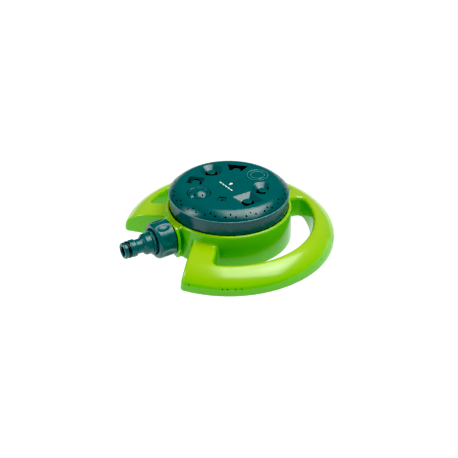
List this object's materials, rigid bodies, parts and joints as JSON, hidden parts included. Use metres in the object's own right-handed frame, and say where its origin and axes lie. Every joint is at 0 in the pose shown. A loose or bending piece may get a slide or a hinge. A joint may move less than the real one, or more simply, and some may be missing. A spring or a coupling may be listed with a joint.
{
  "type": "multi-pattern turret sprinkler",
  "caption": "Stationary lawn sprinkler: low round base with two hand gaps, a dial turret that turns to choose the spray pattern, and a hose connector on a swivel nut.",
  "frame": {"origin": "where the turret axis meets the ground, at the centre of the bottom cover's underside", "axes": "+Z up along the turret axis; -Y towards the hose connector; +X to the right seen from the connector's opposite side looking down with +Y up"},
  "size_m": [0.2138, 0.2244, 0.0612],
  "materials": {
    "lime_plastic": "glossy moulded ABS",
    "teal_plastic": "glossy moulded ABS",
    "skirt_plastic": "satin moulded ABS",
    "rubber": "smooth black nitrile",
    "grey_plastic": "satin moulded polypropylene",
    "acetal": "satin natural acetal",
    "steel": "plain stainless"
  },
  "bodies": {
    "base": {"base_shell": "lime_plastic", "bottom_cover": "lime_plastic", "cover_screw_1": "steel", "cover_screw_2": "steel", "cover_screw_3": "steel", "cover_screw_4": "steel", "inlet_manifold": "grey_plastic", "spigot_o_ring": "rubber", "manifold_screw_1": "steel", "manifold_screw_2": "steel", "seal_spring": "steel", "detent_spring": "steel", "pivot_bush": "acetal"},
    "turret": {"turret_body": "skirt_plastic", "chamber_divider": "grey_plastic", "turret_cap": "teal_plastic", "square_nozzle": "teal_plastic", "half_circle_nozzle": "teal_plastic", "fan_nozzle": "teal_plastic", "full_cone_nozzle": "teal_plastic", "flat_slot_nozzle": "teal_plastic", "jet_nozzle": "teal_plastic", "shower_rose": "teal_plastic", "mist_disc": "teal_plastic", "pivot_washer": "steel", "pivot_spring": "steel", "pivot_screw": "steel", "hub_o_ring": "rubber"},
    "connector": {"quick_connect_nipple": "teal_plastic", "nipple_o_ring": "rubber", "hose_washer": "rubber"},
    "nut": {"swivel_nut": "teal_plastic"},
    "detent": {"detent_plunger": "acetal"},
    "port_seal": {"port_seal": "rubber", "seal_carrier": "acetal"}
  },
  "joints": [
    {"name": "turret_spin", "type": "hinge", "parent": "base", "child": "turret", "pos_m": [0, 0, 0.034], "axis": [0, 0, 1], "continuous": true},
    {"name": "connector_travel", "type": "slide", "parent": "base", "child": "connector", "axis": [0, -1, 0], "range_m": [0, 0.00544]},
    {"name": "nut_spin", "type": "hinge", "parent": "connector", "child": "nut", "pos_m": [0, -0.076, 0.0185], "axis": [0, -1, 0], "range_deg": [0, 1080]},
    {"name": "detent_slide", "type": "slide", "parent": "base", "child": "detent", "axis": [0, 0, 1], "range_m": [-0.0015, 0], "stiffness_N_per_m": 400, "springref_m": 0.003, "deforming": ["detent_spring"]},
    {"name": "port_seal_slide", "type": "slide", "parent": "base", "child": "port_seal", "axis": [0, 0, 1], "range_m": [-0.001, 0], "stiffness_N_per_m": 300, "springref_m": 0.003, "deforming": ["seal_spring"]}
  ],
  "couplings": [
    {"joint": "nut_spin", "follows": "connector_travel", "rad_per_m": 3463.6}
  ]
}
